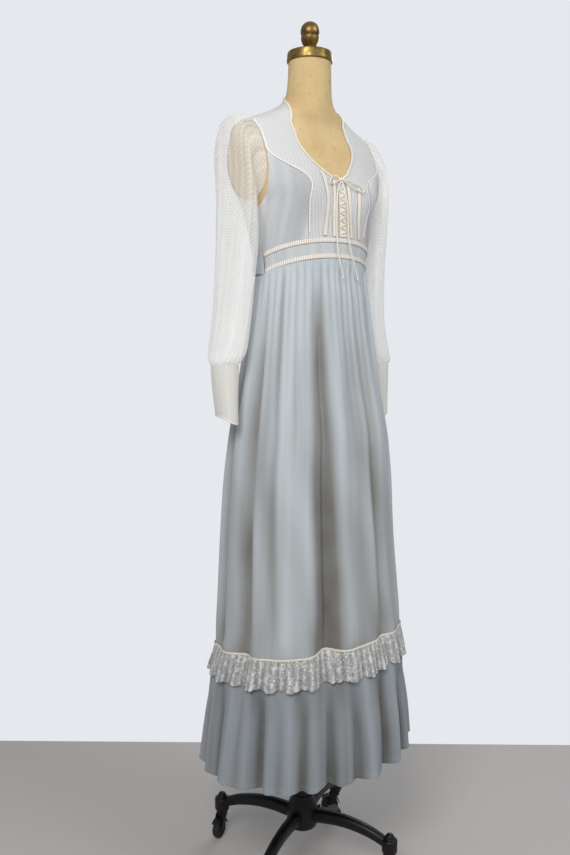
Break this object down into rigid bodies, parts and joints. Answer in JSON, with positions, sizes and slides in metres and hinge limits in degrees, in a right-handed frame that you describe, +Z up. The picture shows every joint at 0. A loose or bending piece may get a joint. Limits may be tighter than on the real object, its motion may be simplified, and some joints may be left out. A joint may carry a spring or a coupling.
{
  "type": "maxi dress on a dress form with a castered stand",
  "caption": "Full-length prairie dress with sheer sleeves, deep cuffs and a lace-trimmed flounce, on a limbless dress form with a castered iron base.",
  "frame": {"origin": "centre of the bounding box on the floor, on the stem's axis within a few millimetres", "axes": "+Z up along the stem, -Y the way the dress faces, -X the wearer's right side"},
  "size_m": [0.4792, 0.4593, 1.82],
  "materials": {
    "voile": "matte",
    "dotted": "matte",
    "net": "matte",
    "lace": "matte",
    "satin": "satin",
    "zip": "matte",
    "canvas": "matte",
    "brass": "satin",
    "iron": "satin",
    "tyre": "matte"
  },
  "bodies": {
    "stand": {"base": "iron", "column": "iron"},
    "figure": {"form_torso": "canvas", "neck_cap": "brass", "finial": "brass", "yoke_front_right": "dotted", "yoke_front_left": "dotted", "yoke_back_right": "dotted", "yoke_back_left": "dotted", "side_front_right": "voile", "side_front_left": "voile", "bodice_back_right": "voile", "bodice_back_left": "voile", "neck_piping_right": "satin", "yoke_piping_right": "satin", "neck_piping_left": "satin", "yoke_piping_left": "satin", "ribbon_outer_right": "satin", "ribbon_inner_right": "satin", "ribbon_inner_left": "satin", "ribbon_outer_left": "satin", "placket": "satin", "lacing": "satin", "lace_bow": "satin", "lace_tail_right": "satin", "lace_tail_left": "satin", "waistband_front": "voile", "band_ribbon_upper": "satin", "band_ribbon_lower": "satin", "waistband_back_right": "voile", "waistband_back_left": "voile", "skirt": "voile", "flounce": "voile", "lace_ruffle": "lace", "tie_right": "voile", "tie_left": "voile", "tie_knot": "voile", "tie_end_right": "voile", "tie_end_left": "voile", "zip_tape": "zip", "zip_slider": "iron", "sleeve_right": "net", "sleeve_left": "net", "cuff_right": "net", "cuff_edge_right": "satin", "cuff_left": "net", "cuff_edge_left": "satin", "stem_rod": "iron"},
    "pedal": {"pedal": "iron"},
    "zip_pull": {"zip_pull": "iron"},
    "fork_1": {"caster_fork_1": "iron"},
    "wheel_1": {"caster_wheel_1": "tyre"},
    "fork_2": {"caster_fork_2": "iron"},
    "wheel_2": {"caster_wheel_2": "tyre"},
    "fork_3": {"caster_fork_3": "iron"},
    "wheel_3": {"caster_wheel_3": "tyre"},
    "fork_4": {"caster_fork_4": "iron"},
    "wheel_4": {"caster_wheel_4": "tyre"}
  },
  "joints": [
    {"name": "height", "type": "slide", "parent": "stand", "child": "figure", "axis": [0, 0, 1], "range_m": [0, 0.15]},
    {"name": "caster_swivel_1", "type": "hinge", "parent": "stand", "child": "fork_1", "pos_m": [0.18387, 0.09288, 0.057], "axis": [0, 0, 1], "continuous": true},
    {"name": "caster_roll_1", "type": "hinge", "parent": "fork_1", "child": "wheel_1", "pos_m": [0.17175, 0.09988, 0.0206], "axis": [-0.5, -0.866, 0], "continuous": true},
    {"name": "caster_swivel_2", "type": "hinge", "parent": "stand", "child": "fork_2", "pos_m": [-0.09288, 0.18387, 0.057], "axis": [0, 0, 1], "continuous": true},
    {"name": "caster_roll_2", "type": "hinge", "parent": "fork_2", "child": "wheel_2", "pos_m": [-0.10557, 0.17796, 0.0206], "axis": [0.4226, -0.9063, 0], "continuous": true},
    {"name": "caster_swivel_3", "type": "hinge", "parent": "stand", "child": "fork_3", "pos_m": [-0.18387, -0.09288, 0.057], "axis": [0, 0, 1], "continuous": true},
    {"name": "caster_roll_3", "type": "hinge", "parent": "fork_3", "child": "wheel_3", "pos_m": [-0.1863, -0.10667, 0.0206], "axis": [0.9848, -0.1736, 0], "continuous": true},
    {"name": "caster_swivel_4", "type": "hinge", "parent": "stand", "child": "fork_4", "pos_m": [0.09288, -0.18387, 0.057], "axis": [0, 0, 1], "continuous": true},
    {"name": "caster_roll_4", "type": "hinge", "parent": "fork_4", "child": "wheel_4", "pos_m": [0.07893, -0.18509, 0.0206], "axis": [0.0872, -0.9962, 0], "continuous": true},
    {"name": "height_pedal", "type": "hinge", "parent": "stand", "child": "pedal", "pos_m": [0.03994, -0.01298, 0.1], "axis": [0.309, 0.9511, 0], "range_deg": [0, 12], "stiffness_Nm_per_rad": 2, "springref_deg": -5.73},
    {"name": "zip_pull_swing", "type": "hinge", "parent": "figure", "child": "zip_pull", "pos_m": [0, 0.06393, 1.66061], "axis": [1, 0, 0], "range_deg": [0, 150]}
  ]
}
